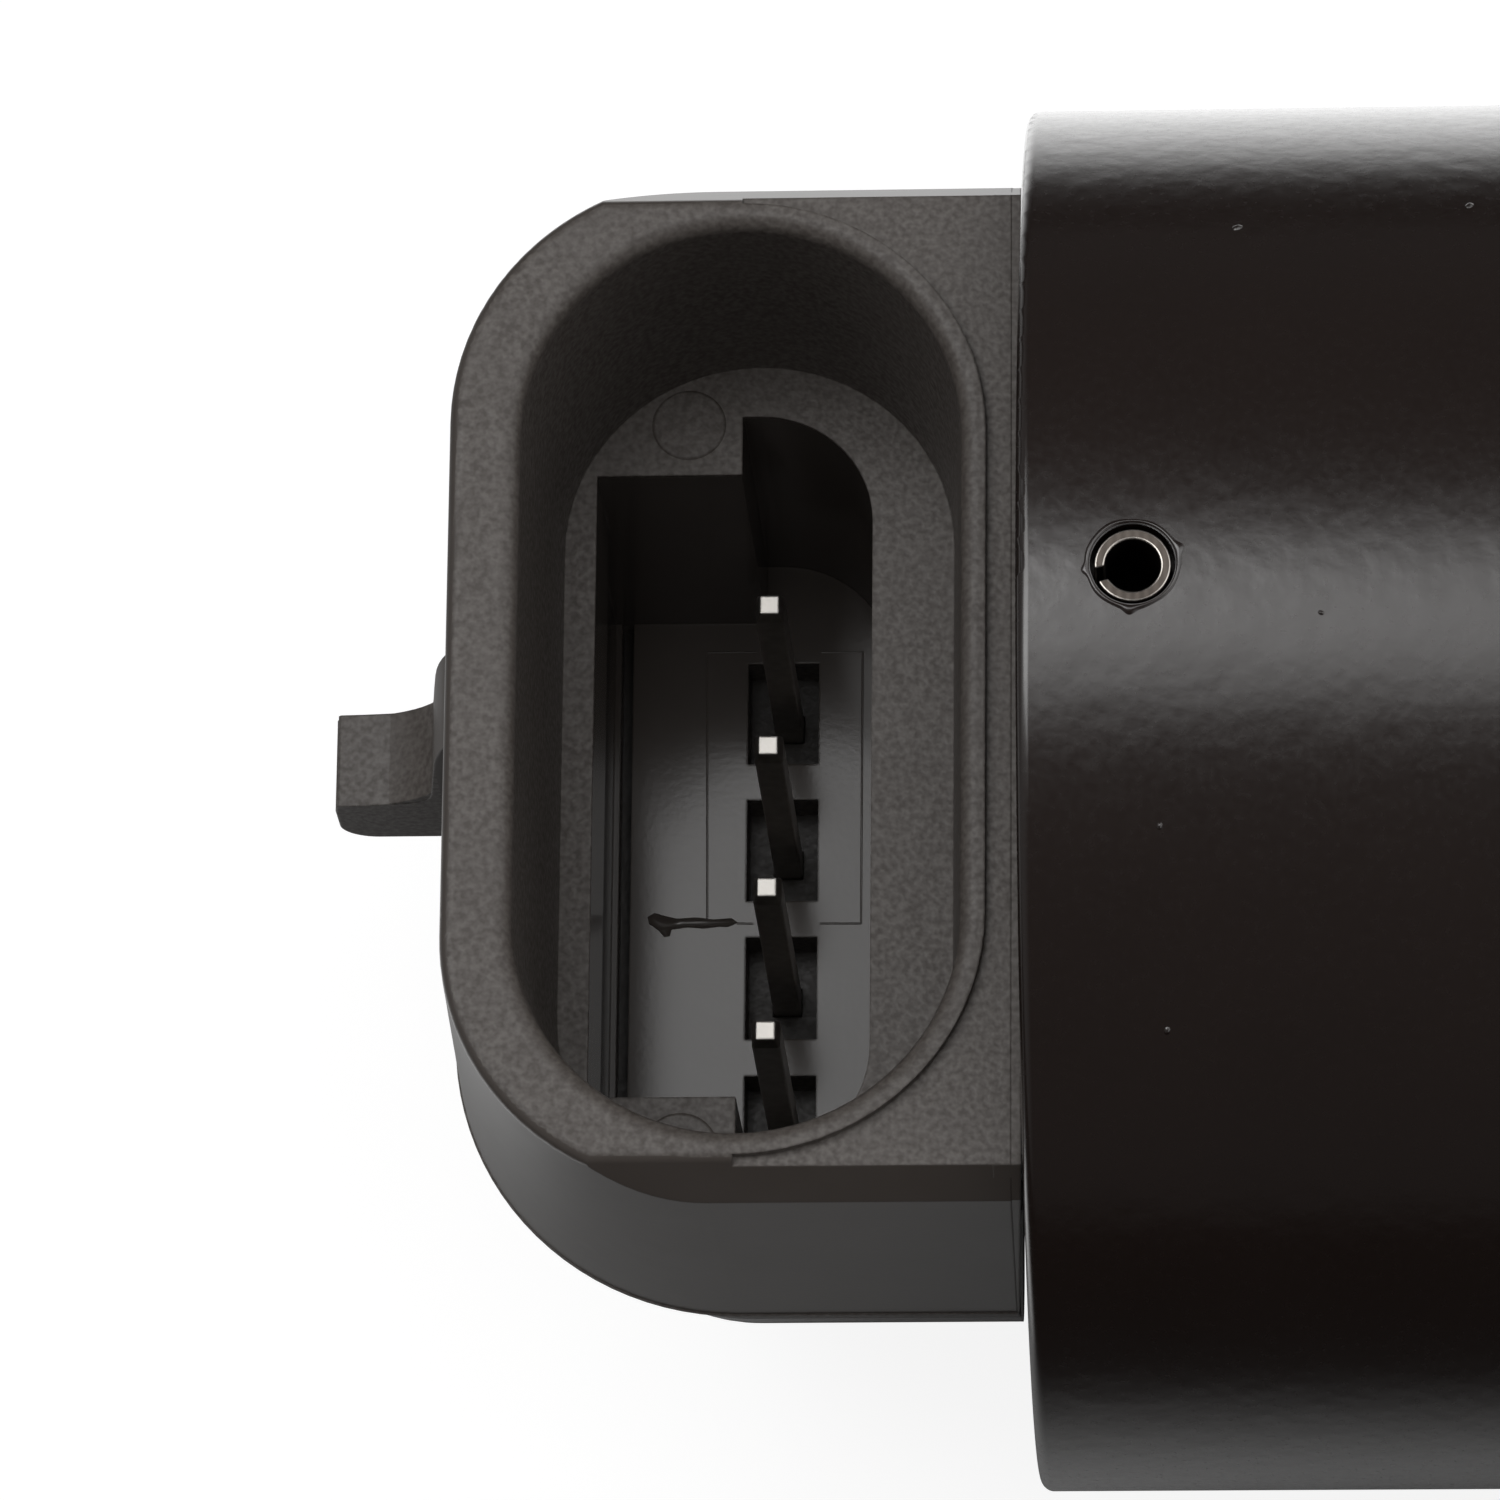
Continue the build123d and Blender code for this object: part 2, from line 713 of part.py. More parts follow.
def pintle_spring():
    """Coil spring between the pilot's recess and the pintle's collar."""
    start = spring_seat + spring_wire_radius + spring_end_gap
    height = pintle_rear - spring_wire_radius - spring_end_gap - start
    path = Helix(height / spring_turns, height, spring_mean_radius)
    section = Plane(path @ 0, z_dir=path % 0) * Circle(spring_wire_radius)
    coil = sweep(section, path, is_frenet=True)
    return Pos(start, 0, 0) * Rot(0, 90, 0) * coil


rear_disc = boss_rear - stack_gap
front_stack = (rear_disc, -1)
front_plate = (rear_disc - stack_length, 1)
rear_stack = (plug_front + stack_gap, 1)
rear_plate = (plug_front + stack_gap + stack_length, -1)
finger_step = 360 / claw_count
quarter_step = finger_step / 4

parts = {
    "motor_can": motor_can(),
    "mounting_flange": mounting_flange(),
    "flange_oring": flange_oring(),
    "connector_housing": connector_housing(),
    "spring_pin": spring_pin(),
    "rear_seal": rear_seal(),
    "front_stator_cup": stator_cup(*front_stack, 0),
    "front_stator_plate": stator_plate(*front_plate, finger_step / 2),
    "rear_stator_cup": stator_cup(*rear_stack, quarter_step),
    "rear_stator_plate": stator_plate(*rear_plate, quarter_step + finger_step / 2),
    "front_bobbin": bobbin(*front_stack),
    "rear_bobbin": bobbin(*rear_stack),
    "front_winding": winding(*front_stack),
    "rear_winding": winding(*rear_stack),
    "rotor_hub": rotor_hub(),
    "rotor_magnet": rotor_magnet(),
    "bearing_outer_race": bearing_outer_race(),
    "bearing_inner_race": bearing_inner_race(),
    "bearing_balls": bearing_balls(),
    "ball_cage": ball_cage(),
    "rear_bush": rear_bush(),
    "spring_washer": spring_washer(),
    "shaft_guide": shaft_guide(),
    "lead_screw": lead_screw(),
    "pintle": pintle(),
    "pintle_spring": pintle_spring(),
}
for number, place in enumerate(terminal_places(), start=1):
    parts[f"terminal_{number}"] = terminal(place)

os.makedirs("parts", exist_ok=True)
for name, shape in parts.items():
    export_step(shape, f"parts/{name}.step")
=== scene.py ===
import math
import bpy
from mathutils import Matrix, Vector


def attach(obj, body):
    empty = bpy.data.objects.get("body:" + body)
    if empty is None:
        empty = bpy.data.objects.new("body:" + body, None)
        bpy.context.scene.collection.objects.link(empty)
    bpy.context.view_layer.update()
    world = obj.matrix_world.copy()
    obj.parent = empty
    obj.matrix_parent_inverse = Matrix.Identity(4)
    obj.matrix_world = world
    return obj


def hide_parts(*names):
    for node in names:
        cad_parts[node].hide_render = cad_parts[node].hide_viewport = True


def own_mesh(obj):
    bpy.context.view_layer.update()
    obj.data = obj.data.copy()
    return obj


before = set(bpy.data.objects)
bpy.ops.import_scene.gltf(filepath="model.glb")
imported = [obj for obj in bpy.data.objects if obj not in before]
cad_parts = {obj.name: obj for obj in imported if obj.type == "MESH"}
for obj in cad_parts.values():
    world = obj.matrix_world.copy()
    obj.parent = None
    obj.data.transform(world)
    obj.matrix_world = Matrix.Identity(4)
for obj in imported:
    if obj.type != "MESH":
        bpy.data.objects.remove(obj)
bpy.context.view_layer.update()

# Places on the valve in millimetres, from the middle of the mounting face. X runs along the valve to the
# pintle, and the socket opens up.
can_rear = -42.0
can_radius = 16.0
can_edge_radius = 0.3
pin_x = -39.45
pin_hole_radius = 0.93
ledge_z = 1.58
floor_z = -8.7
parting_z = -0.6
parting_rear = -55.45
parting_flat = 12.15
parting_corner = 6.6
# The middles of the shroud's round corners, and how far out from them the cored socket ends and the outer
# walls lie.
corner_x = -49.1
corner_y = 6.13
core_reach = 4.6
wall_reach = 5.8
wall_spread = 0.6
tab_half_width = 1.11
spring_seat = 5.05
spring_end = 24.15
spring_radius = 7.4
spring_wire = 0.5
spring_turns = 6.5
spring_dead_turns = 0.8
cut_edge_radius = 0.05
table_z = -17.8


def linear(code):
    """The linear colour of an sRGB hex value."""
    parts = [int(code[i:i + 2], 16) / 255 for i in (1, 3, 5)]
    return tuple(p / 12.92 if p < 0.04045 else ((p + 0.055) / 1.055) ** 2.4 for p in parts) + (1.0,)


def grains(size):
    """Noise scale that gives grains of this size in millimetres."""
    return 1000 / size


def lines(spacing):
    """Wave scale that gives lines with this spacing in millimetres."""
    return 100 * math.pi / spacing


def feed(node, inputs):
    """Sets a node's inputs: each is a value, a socket, or a node whose first output is used."""
    for key, value in inputs.items():
        if isinstance(value, bpy.types.Node):
            value = value.outputs[0]
        if isinstance(value, bpy.types.NodeSocket):
            node.id_data.links.new(value, node.inputs[key])
        else:
            node.inputs[key].default_value = value


def add(tree, kind, inputs=None, **settings):
    """Adds a node with its settings and inputs.

    A Mix node takes its share at 0, numbers at 2 and 3, directions at 4 and 5, and colours at 6 and 7.
    It gives a number at 0, a direction at 1 and a colour at 2.
    """
    made = tree.nodes.new(kind)
    for name, value in settings.items():
        setattr(made, name, value)
    feed(made, inputs or {})
    return made


def start_finish(name, colour, roughness, metallic=0.0):
    """A new finish with its plain values, and the place on the piece in metres for its patterns."""
    material = bpy.data.materials.new(name)
    material.use_nodes = True
    tree = material.node_tree
    shader = tree.nodes["Principled BSDF"]
    feed(shader, {"Base Color": linear(colour), "Roughness": roughness, "Metallic": metallic})
    place = add(tree, "ShaderNodeTexCoord").outputs["Object"]
    return material, tree, shader, place


def moulded_pbt(name, edge_radius, wall_roughness=0.28):
    """Glass-filled PBT from a spark-eroded mould: matte warm grey, with pits that glint and rounded edges.

    The pits are drawn a little coarser than real, so that they show.
    """
    material, tree, shader, place = start_finish(name, "#4d4845", 0.5)
    pits = add(tree, "ShaderNodeTexNoise", {"Vector": place, "Scale": grains(0.14), "Detail": 1.0})
    flow = add(tree, "ShaderNodeTexNoise", {"Vector": place, "Scale": grains(2.5), "Detail": 4.0})
    x, y, z = add(tree, "ShaderNodeSeparateXYZ", {0: place}).outputs
    facing = add(tree, "ShaderNodeNewGeometry").outputs["True Normal"]
    upward = add(tree, "ShaderNodeSeparateXYZ", {0: facing}).outputs[2]
    side = add(tree, "ShaderNodeMath", {0: y}, operation="ABSOLUTE")
    across = add(tree, "ShaderNodeMath", {0: side, 1: corner_y / 1000}, operation="SUBTRACT")
    rearward = add(tree, "ShaderNodeMath", {0: corner_x / 1000, 1: x}, operation="SUBTRACT")
    past = add(tree, "ShaderNodeCombineXYZ", {0: rearward, 1: across})
    outward = add(tree, "ShaderNodeVectorMath", {0: past}, operation="MAXIMUM")
    reach = add(tree, "ShaderNodeVectorMath", {0: outward}, operation="LENGTH").outputs["Value"]

    # The core that formed the socket below its ledge was polished, so the floor and walls there are smooth.
    # It is counted from just under the floor to just under the ledge's own face.
    just_under = 0.1
    middle = (floor_z + ledge_z) / 2 - just_under
    half = (ledge_z - floor_z) / 2
    deep = add(tree, "ShaderNodeMath", {0: z, 1: middle / 1000, 2: half / 1000}, operation="COMPARE")
    within = add(tree, "ShaderNodeMath", {0: reach, 1: core_reach / 1000}, operation="LESS_THAN")
    cored = add(tree, "ShaderNodeMath", {0: deep, 1: within}, operation="MULTIPLY")

    # So was the slide that formed the shroud's outer walls above the parting line.
    level_from = 0.9
    band = {0: reach, 1: wall_reach / 1000, 2: wall_spread / 1000}
    outside = add(tree, "ShaderNodeMath", band, operation="COMPARE")
    upper = add(tree, "ShaderNodeMath", {0: z, 1: parting_z / 1000}, operation="GREATER_THAN")
    upright = add(tree, "ShaderNodeMath", {0: upward, 1: level_from}, operation="LESS_THAN")
    wall = add(tree, "ShaderNodeMath", {0: outside, 1: upright}, operation="MULTIPLY")
    outer = add(tree, "ShaderNodeMath", {0: wall, 1: upper}, operation="MULTIPLY")
    smooth = add(tree, "ShaderNodeMath", {0: outer, 1: cored}, operation="MAXIMUM")

    spots = add(tree, "ShaderNodeMapRange", {"Value": pits, "From Min": 0.3, "From Max": 0.7})
    grain = add(tree, "ShaderNodeMix", {0: smooth, 2: spots, 3: 0.1}, data_type="FLOAT")
    tones = {0: grain, 6: linear("#413b37"), 7: linear("#5a5551")}
    tone = add(tree, "ShaderNodeMix", tones, data_type="RGBA").outputs[2]
    streaks = {"Value": flow, "From Min": 0.3, "From Max": 0.7, "To Max": 0.4}
    clouds = add(tree, "ShaderNodeMapRange", streaks)
    drift = {0: clouds, 6: tone, 7: linear("#4f4a47")}
    cloudy = add(tree, "ShaderNodeMix", drift, data_type="RGBA").outputs[2]

    # The real wells run down out of sight into shade and show black, so these wells' floors get painted
    # shade: a near-black colour.
    well_top = floor_z - 0.3
    under = add(tree, "ShaderNodeMath", {0: z, 1: well_top / 1000}, operation="LESS_THAN")
    level = add(tree, "ShaderNodeMath", {0: upward, 1: level_from}, operation="GREATER_THAN")
    shaded_well_floor = add(tree, "ShaderNodeMath", {0: under, 1: level}, operation="MULTIPLY")
    painted_well_shade = {0: shaded_well_floor, 6: cloudy, 7: linear("#25211e")}
    shade = add(tree, "ShaderNodeMix", painted_well_shade, data_type="RGBA").outputs[2]

    dull = add(tree, "ShaderNodeMapRange", {"Value": spots, "To Min": 0.56, "To Max": 0.44})
    satin = add(tree, "ShaderNodeMix", {0: outer, 2: dull, 3: wall_roughness}, data_type="FLOAT")
    gloss = add(tree, "ShaderNodeMix", {0: cored, 2: satin, 3: 0.16}, data_type="FLOAT")
    edge = add(tree, "ShaderNodeBevel", {"Radius": edge_radius / 1000}, samples=4)
    grip = add(tree, "ShaderNodeMix", {0: smooth, 2: 0.9, 3: 0.08}, data_type="FLOAT")
    relief = {"Strength": grip, "Distance": 0.000014, "Height": pits, "Normal": edge}
    bump = add(tree, "ShaderNodeBump", relief)
    feed(shader, {"Base Color": shade, "Roughness": gloss, "Normal": bump})
    return material


def round_can_normal(tree, place):
    """The way that the truly round can and its rolled rear edge face, unlike the facets of their mesh.

    With it comes where the can's wall is, ahead of that edge.
    """
    edge_x = (can_rear + can_edge_radius) / 1000
    edge_reach = (can_radius - can_edge_radius) / 1000
    along = add(tree, "ShaderNodeSeparateXYZ", {0: place})
    rear = add(tree, "ShaderNodeMath", {0: along, 1: edge_x}, operation="SUBTRACT")
    behind = add(tree, "ShaderNodeMath", {0: rear, 1: 0.0}, operation="MINIMUM")
    radial = add(tree, "ShaderNodeVectorMath", {0: place, 1: (0.0, 1.0, 1.0)}, operation="MULTIPLY")
    reach = add(tree, "ShaderNodeVectorMath", {0: radial}, operation="LENGTH").outputs["Value"]
    above = add(tree, "ShaderNodeMath", {0: reach, 1: edge_reach}, operation="SUBTRACT")
    over = add(tree, "ShaderNodeMath", {0: above, 1: 0.0}, operation="MAXIMUM")
    spoke = add(tree, "ShaderNodeVectorMath", {0: radial}, operation="NORMALIZE")
    lifted = add(tree, "ShaderNodeVectorMath", {0: spoke, "Scale": over}, operation="SCALE")
    aft = add(tree, "ShaderNodeCombineXYZ", {0: behind})
    from_edge = add(tree, "ShaderNodeVectorMath", {0: lifted, 1: aft}, operation="ADD")
    span = add(tree, "ShaderNodeVectorMath", {0: from_edge}, operation="LENGTH").outputs["Value"]
    skin_from = 0.8 * can_edge_radius
    on_skin = add(tree, "ShaderNodeMath", {0: span, 1: skin_from / 1000}, operation="GREATER_THAN")
    outward = add(tree, "ShaderNodeVectorMath", {0: from_edge}, operation="NORMALIZE")
    own = add(tree, "ShaderNodeNewGeometry").outputs["Normal"]
    turned = add(tree, "ShaderNodeMix", {0: on_skin, 4: own, 5: outward}, data_type="VECTOR").outputs[1]
    on_wall = add(tree, "ShaderNodeMath", {0: rear, 1: 0.0}, operation="GREATER_THAN")
    return turned, on_wall


def baked_enamel(name, on_can):
    """Black enamel sprayed on drawn steel and baked to a glassy coat: deep warm black, fine orange peel.

    Runs and specks of paint, which aren't the can's own skin, keep the shape of their mesh.
    """
    material, tree, shader, place = start_finish(name, "#180e0a", 0.24)
    peel = add(tree, "ShaderNodeTexNoise", {"Vector": place, "Scale": grains(0.7), "Detail": 1.0})
    mist = add(tree, "ShaderNodeTexNoise", {"Vector": place, "Scale": grains(0.17), "Detail": 1.0})
    wave = add(tree, "ShaderNodeTexNoise", {"Vector": place, "Scale": grains(4.0), "Detail": 3.0})
    tones = {0: wave, 6: linear("#160c08"), 7: linear("#1b110d")}
    tone = add(tree, "ShaderNodeMix", tones, data_type="RGBA").outputs[2]
    haze = {"Value": mist, "From Min": 0.3, "From Max": 0.7, "To Min": 0.2, "To Max": 0.28}
    dull = add(tree, "ShaderNodeMapRange", haze)
    skin = add(tree, "ShaderNodeMath", {0: mist, 1: 0.16, 2: peel}, operation="MULTIPLY_ADD")
    relief = {"Strength": 1.0, "Distance": 0.000012, "Height": skin}
    if on_can:
        relief["Normal"], relief["Strength"] = round_can_normal(tree, place)
    bump = add(tree, "ShaderNodeBump", relief)
    feed(shader, {"Base Color": tone, "Roughness": dull, "Normal": bump})
    feed(shader, {"Coat Weight": 1.0, "Coat Roughness": 0.2, "Coat Normal": bump})
    return material


def die_cast_aluminium():
    """Aluminium die casting: pale grey mottled skin, with lathe rings on faces square to the axis."""
    material, tree, shader, place = start_finish("die_cast_aluminium", "#bcbbb8", 0.42, 1.0)
    skin = add(tree, "ShaderNodeTexNoise", {"Vector": place, "Scale": grains(0.5), "Detail": 4.0})
    patch = add(tree, "ShaderNodeTexNoise", {"Vector": place, "Scale": grains(6.0), "Detail": 3.0})
    tones = {0: patch, 6: linear("#a9a8a6"), 7: linear("#c8c7c4")}
    tone = add(tree, "ShaderNodeMix", tones, data_type="RGBA").outputs[2]
    mottle = {"Value": skin, "From Min": 0.3, "From Max": 0.7, "To Min": 0.36, "To Max": 0.52}
    dull = add(tree, "ShaderNodeMapRange", mottle)
    turned = {"Vector": place, "Scale": lines(0.3)}
    rings = add(tree, "ShaderNodeTexWave", turned, wave_type="RINGS", rings_direction="X").outputs[1]
    facing = add(tree, "ShaderNodeSeparateXYZ", {0: add(tree, "ShaderNodeNewGeometry").outputs["Normal"]})
    square = add(tree, "ShaderNodeMath", {0: facing, 1: 0.98}, operation="GREATER_THAN")
    height = add(tree, "ShaderNodeMix", {0: square, 2: skin, 3: rings}, data_type="FLOAT")
    bump = add(tree, "ShaderNodeBump", {"Strength": 0.5, "Distance": 0.00002, "Height": height})
    feed(shader, {"Base Color": tone, "Roughness": dull, "Normal": bump})
    return material


def steel(name, dark, light, roughness, spacing):
    """Bare steel with the drawn, rolled or turned lines of its making, so many millimetres apart along X.

    Lines too fine to show are drawn as coarse as they need to be.
    """
    material, tree, shader, place = start_finish(name, light, roughness, 1.0)
    drawn = {"Vector": place, "Scale": lines(spacing), "Distortion": 1.5, "Detail": 2.0}
    marks = add(tree, "ShaderNodeTexWave", drawn).outputs[1]
    cloud = add(tree, "ShaderNodeTexNoise", {"Vector": place, "Scale": grains(1.5), "Detail": 4.0})
    tones = {0: cloud, 6: linear(dark), 7: linear(light)}
    tone = add(tree, "ShaderNodeMix", tones, data_type="RGBA").outputs[2]
    haze = {"Value": cloud, "To Min": roughness - 0.08, "To Max": roughness + 0.1}
    dull = add(tree, "ShaderNodeMapRange", haze)
    bump = add(tree, "ShaderNodeBump", {"Strength": 0.3, "Distance": 0.000008, "Height": marks})
    feed(shader, {"Base Color": tone, "Roughness": dull, "Normal": bump})
    return material


def speckled(name, dark, light, roughness, metallic, grain, depth):
    """A moulded, sintered or pressed skin: two close tones in grains, their size and depth in millimetres."""
    material, tree, shader, place = start_finish(name, light, roughness, metallic)
    grit = add(tree, "ShaderNodeTexNoise", {"Vector": place, "Scale": grains(grain), "Detail": 3.0})
    spots = add(tree, "ShaderNodeMapRange", {"Value": grit, "From Min": 0.3, "From Max": 0.7})
    tones = {0: spots, 6: linear(dark), 7: linear(light)}
    tone = add(tree, "ShaderNodeMix", tones, data_type="RGBA").outputs[2]
    haze = {"Value": grit, "To Min": roughness + 0.08, "To Max": roughness - 0.08}
    dull = add(tree, "ShaderNodeMapRange", haze)
    bump = add(tree, "ShaderNodeBump", {"Strength": 0.5, "Distance": depth / 1000, "Height": grit})
    feed(shader, {"Base Color": tone, "Roughness": dull, "Normal": bump})
    return material


def tinned_brass():
    """Brass dipped in tin: a pale soft shine with small wipe marks."""
    material, tree, shader, place = start_finish("tinned_brass", "#d2cec8", 0.36, 1.0)
    wipe = add(tree, "ShaderNodeTexNoise", {"Vector": place, "Scale": grains(0.3), "Detail": 3.0})
    tones = {0: wipe, 6: linear("#aaa6a0"), 7: linear("#dcd9d4")}
    tone = add(tree, "ShaderNodeMix", tones, data_type="RGBA").outputs[2]
    dull = add(tree, "ShaderNodeMapRange", {"Value": wipe, "To Min": 0.28, "To Max": 0.5})
    bump = add(tree, "ShaderNodeBump", {"Strength": 0.4, "Distance": 0.000008, "Height": wipe})
    feed(shader, {"Base Color": tone, "Roughness": dull, "Normal": bump})
    return material


def wound_wire():
    """Enamelled copper wire wound in layers: red-brown gloss with a ridge for each turn; the grooves between
    the turns carry painted shade.
    """
    material, tree, shader, place = start_finish("wound_wire", "#a4552b", 0.3, 1.0)
    winding = {"Vector": place, "Scale": lines(0.16), "Distortion": 0.6, "Detail": 1.0}
    turns = add(tree, "ShaderNodeTexWave", winding).outputs[1]
    # The tone follows the ridges, so the grooves between the turns are darker: painted shade.
    tones = {0: turns, 6: linear("#6b2f14"), 7: linear("#bd6a38")}
    tone = add(tree, "ShaderNodeMix", tones, data_type="RGBA").outputs[2]
    dull = add(tree, "ShaderNodeMapRange", {"Value": turns, "To Min": 0.42, "To Max": 0.26})
    bump = add(tree, "ShaderNodeBump", {"Strength": 0.8, "Distance": 0.00004, "Height": turns})
    feed(shader, {"Base Color": tone, "Roughness": dull, "Normal": bump})
    return material


def soft_patch(tree, fades):
    """How far a place lies in a soft-edged patch: each edge fades from dark to full along a measure."""
    share = None
    for measure, dark, full in fades:
        edge = {"Value": measure, "From Min": dark, "From Max": full}
        fade = add(tree, "ShaderNodeMapRange", edge, interpolation_type="SMOOTHSTEP")
        if share is None:
            share = fade
        else:
            share = add(tree, "ShaderNodeMath", {0: share, 1: fade}, operation="MULTIPLY")
    return share


def white_paper():
    """White paper on a dark table: white where it is seen. To mirrors it is brightest behind the valve and
    beside its rear end, where a pool of light is painted, and the dark table close in front of the valve is
    painted shade.

    Its places are in metres.
    """
    paper = bpy.data.materials.new("white_paper")
    paper.use_nodes = True
    tree = paper.node_tree
    tree.nodes.clear()
    path = add(tree, "ShaderNodeLightPath")
    spot = add(tree, "ShaderNodeNewGeometry").outputs["Position"]
    x, y = add(tree, "ShaderNodeSeparateXYZ", {0: spot}).outputs[:2]
    # The paper ends close in front of the valve, and the dark table there is painted shade, standing in for
    # the valve's shadow.
    paper_not_painted_shade = soft_patch(tree, ((y, -0.046, -0.02), (y, 0.12, 0.04)))
    # Behind the valve and beside its rear end lies a painted pool of light, which only mirrors see.
    painted_pool_behind = soft_patch(tree, ((y, 0.0, 0.03), (x, -0.078, -0.06)))
    # The painted pool's edge beside the valve's rear end counts twice, which softens its start.
    rear_edge = (x, -0.059, -0.068)
    painted_pool_at_rear_end = soft_patch(tree, (rear_edge, rear_edge, (x, -0.095, -0.08), (y, 0.02, 0.0)))
    painted_pool_patches = add(tree, "ShaderNodeMath", {0: painted_pool_behind, 1: painted_pool_at_rear_end}, operation="MAXIMUM")
    painted_light_pool = add(tree, "ShaderNodeMath", {0: painted_pool_patches, 1: paper_not_painted_shade}, operation="MULTIPLY")
    # The dark table's tone is the painted shade; the paper's tone lies elsewhere.
    tones = {0: paper_not_painted_shade, 6: linear("#303030"), 7: linear("#9c9c9c")}
    tone = add(tree, "ShaderNodeMix", tones, data_type="RGBA").outputs[2]
    plain = add(tree, "ShaderNodeBsdfDiffuse", {"Color": tone})
    # This glow is the painted pool of light.
    bright = add(tree, "ShaderNodeEmission", {"Strength": painted_light_pool})
    mirrored = add(tree, "ShaderNodeAddShader", {0: plain, 1: bright})
    seen_light = add(tree, "ShaderNodeEmission", {"Strength": 0.86})
    seen_paper = add(tree, "ShaderNodeBsdfDiffuse", {"Color": linear("#848484")})
    seen = add(tree, "ShaderNodeAddShader", {0: seen_light, 1: seen_paper})
    seen_rays = {0: path.outputs["Is Camera Ray"], 1: path.outputs["Is Transmission Ray"]}
    looked_at = add(tree, "ShaderNodeMath", seen_rays, operation="MAXIMUM")
    unseen = add(tree, "ShaderNodeMixShader", {0: path.outputs["Is Glossy Ray"], 1: plain, 2: mirrored})
    whole = add(tree, "ShaderNodeMixShader", {0: looked_at, 1: unseen, 2: seen})
    add(tree, "ShaderNodeOutputMaterial", {"Surface": whole})
    return paper


def white_tent():
    """A white tent: a soft-edged bright strip overhead and a little behind, and pale walls at both ends."""
    tent = bpy.data.worlds.new("white_tent")
    tent.use_nodes = True
    tree = tent.node_tree
    tree.nodes.clear()
    path = add(tree, "ShaderNodeLightPath")
    sky = add(tree, "ShaderNodeTexCoord").outputs["Generated"]
    x, y, z = add(tree, "ShaderNodeSeparateXYZ", {0: sky}).outputs
    tilt = add(tree, "ShaderNodeMath", {0: y, 1: z}, operation="ARCTAN2")
    lean = add(tree, "ShaderNodeMath", {0: x, 1: z}, operation="ARCTAN2")
    # The strip's edges are in degrees from straight up.
    edges = ((tilt, -10, 9), (tilt, 33, 9), (lean, 60, 0), (lean, -80, -30))
    fades = [(angle, math.radians(dark), math.radians(full)) for angle, dark, full in edges]
    strip = soft_patch(tree, fades)
    right = {"Value": x, "From Min": 0.35, "From Max": 0.8, "To Min": 0.1, "To Max": 1.2}
    left = {"Value": x, "From Min": -0.35, "From Max": -0.8, "To Max": 0.15}
    right_wall = add(tree, "ShaderNodeMapRange", right)
    left_wall = add(tree, "ShaderNodeMapRange", left)
    ends = add(tree, "ShaderNodeMath", {0: right_wall, 1: left_wall}, operation="ADD")
    inside = add(tree, "ShaderNodeMath", {0: strip, 1: 2.0, 2: ends}, operation="MULTIPLY_ADD")
    seen_rays = {0: path.outputs["Is Camera Ray"], 1: path.outputs["Is Transmission Ray"]}
    looked_at = add(tree, "ShaderNodeMath", seen_rays, operation="MAXIMUM")
    level = add(tree, "ShaderNodeMix", {0: looked_at, 2: inside, 3: 1.0}, data_type="FLOAT")
    tent_light = add(tree, "ShaderNodeBackground", {"Strength": level})
    add(tree, "ShaderNodeOutputWorld", {"Surface": tent_light})
    return tent


def fit_piece(name, shape, finish):
    """A new smooth piece from points in millimetres and their faces, fixed to the valve's body."""
    points, faces = shape
    mesh = bpy.data.meshes.new(name)
    mesh.from_pydata([Vector(p) / 1000 for p in points], [], faces)
    mesh.update()
    mesh.shade_smooth()
    mesh.materials.append(finish)
    piece = bpy.data.objects.new(name, mesh)
    bpy.context.scene.collection.objects.link(piece)
    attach(piece, "body")
    return piece


def join(shapes):
    """Points and faces of several shapes as one."""
    points, faces = [], []
    for more_points, more_faces in shapes:
        faces += [tuple(i + len(points) for i in face) for face in more_faces]
        points += more_points
    return points, faces


def round_bar(path, radius, sides):
    """A round bar with flat ends along a line of points."""
    path = [Vector(p) for p in path]
    count = len(path)
    across = None
    points = []
    for i, middle in enumerate(path):
        before = path[max(i - 1, 0)]
        after = path[min(i + 1, count - 1)]
        along = (after - before).normalized()
        if across is None:
            across = along.orthogonal().normalized()
        across = (across - along * across.dot(along)).normalized()
        other = along.cross(across)
        for k in range(sides):
            angle = 2 * math.pi * k / sides
            points.append(middle + radius * (math.cos(angle) * across + math.sin(angle) * other))
    faces = []
    for i in range(count - 1):
        a, b = i * sides, (i + 1) * sides
        for k in range(sides):
            n = (k + 1) % sides
            faces.append((a + k, a + n, b + n, b + k))
    faces.append(tuple(reversed(range(sides))))
    faces.append(tuple(range((count - 1) * sides, count * sides)))
    return points, faces


def coil_path():
    """Middle line of the pintle's spring, with a closed turn at each end."""
    low, high = spring_seat + spring_wire, spring_end - spring_wire
    closed_pitch = 2.1 * spring_wire
    closing = spring_dead_turns * closed_pitch
    steps_per_turn = 40
    steps = int(spring_turns * steps_per_turn)
    path = []
    for i in range(steps + 1):
        turn = spring_turns * i / steps
        if turn < spring_dead_turns:
            x = low + closing * turn / spring_dead_turns
        elif turn > spring_turns - spring_dead_turns:
            x = high - closing * (spring_turns - turn) / spring_dead_turns
        else:
            share = (turn - spring_dead_turns) / (spring_turns - 2 * spring_dead_turns)
            x = low + closing + share * (high - low - 2 * closing)
        angle = 2 * math.pi * turn
        path.append((x, spring_radius * math.cos(angle), spring_radius * math.sin(angle)))
    return path


